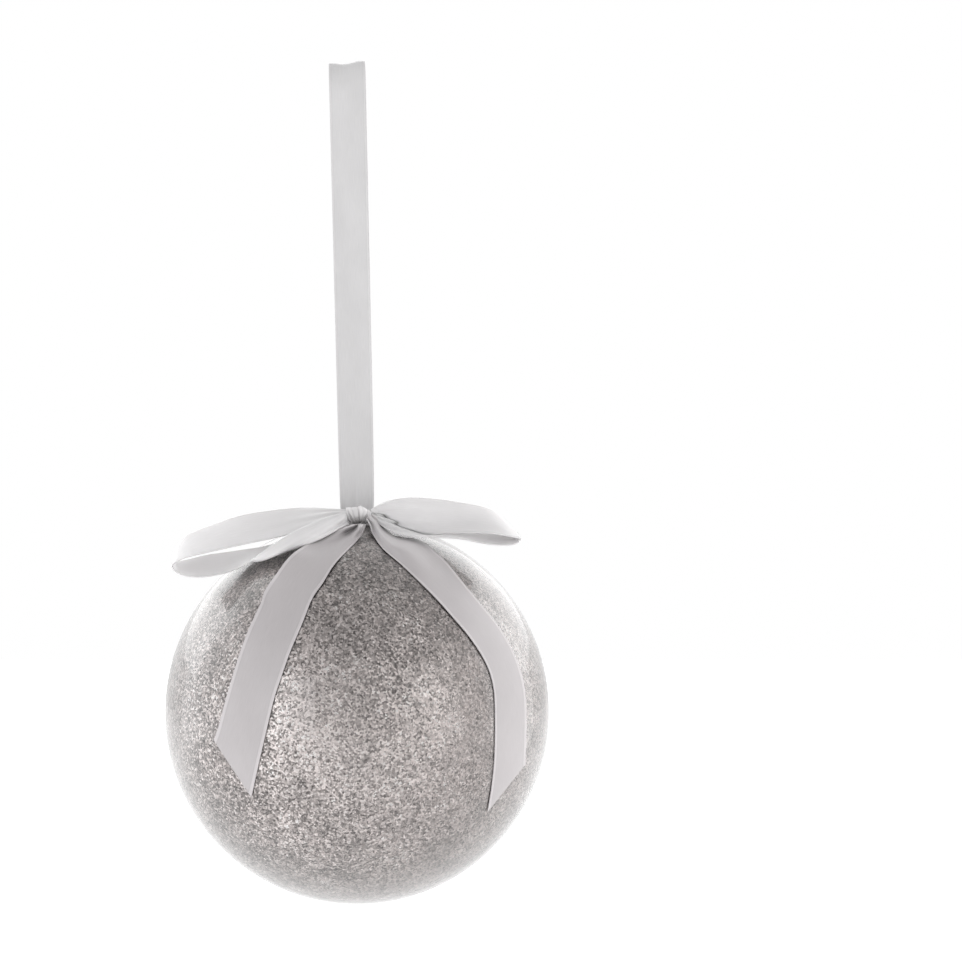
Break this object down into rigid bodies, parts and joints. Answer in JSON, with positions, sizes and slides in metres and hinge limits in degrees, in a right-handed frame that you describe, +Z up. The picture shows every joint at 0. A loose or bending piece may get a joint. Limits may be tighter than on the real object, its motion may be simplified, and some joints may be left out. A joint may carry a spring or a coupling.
{
  "type": "glass ball ornament",
  "caption": "Hanging glass ball with a glitter coat inside, a flat ribbon loop to hang it by and a ribbon bow tied at its top.",
  "frame": {"origin": "inside of the top of the ribbon loop, where a hook or twig carries it", "axes": "+Z up through the ball and the loop, -Y towards the bow and the front, X across"},
  "size_m": [0.08, 0.08, 0.1758],
  "materials": {
    "clear_glass": "clear, polished",
    "glitter": "fine silver glitter",
    "bow_ribbon": "double-faced satin, silver grey",
    "narrow_ribbon": "double-faced satin, silver grey",
    "plug": "matt",
    "wire": "bright"
  },
  "bodies": {
    "ribbon": {"hanging_ribbon_loop": "narrow_ribbon"},
    "ribbon_neck": {"hanging_ribbon_neck": "narrow_ribbon"},
    "ball": {"glass_ball": "clear_glass", "glitter_lining": "glitter", "hanger_plug": "plug", "wire_eye": "wire", "hanging_ribbon_tuck": "narrow_ribbon", "bow_knot": "bow_ribbon"},
    "left_tail": {"bow_left_tail": "bow_ribbon"},
    "right_tail": {"bow_right_tail": "bow_ribbon"},
    "left_loop": {"bow_left_loop": "bow_ribbon"},
    "right_loop": {"bow_right_loop": "bow_ribbon"}
  },
  "joints": [
    {"name": "ball_spin", "type": "hinge", "parent": "ribbon", "child": "ribbon_neck", "pos_m": [0, 0, -0.09], "axis": [0, 0, 1], "range_deg": [-180, 180]},
    {"name": "ball_tilt", "type": "hinge", "parent": "ribbon_neck", "child": "ball", "pos_m": [0, 0, -0.0915], "axis": [1, 0, 0], "range_deg": [-70, 70]},
    {"name": "left_tail_lift", "type": "hinge", "parent": "ball", "child": "left_tail", "pos_m": [-0.0004, -0.0145, -0.0972], "axis": [-0.9314, 0.3435, 0.1206], "range_deg": [0, 60]},
    {"name": "right_tail_lift", "type": "hinge", "parent": "ball", "child": "right_tail", "pos_m": [0.0045, -0.0135, -0.0973], "axis": [-0.8156, -0.5689, -0.1053], "range_deg": [0, 60]},
    {"name": "left_loop_lift", "type": "hinge", "parent": "ball", "child": "left_loop", "pos_m": [0.0005, -0.0083, -0.0943], "axis": [0, 1, 0], "range_deg": [0, 35]},
    {"name": "right_loop_lift", "type": "hinge", "parent": "ball", "child": "right_loop", "pos_m": [0.0005, -0.0083, -0.0943], "axis": [0, -1, 0], "range_deg": [0, 35]}
  ]
}
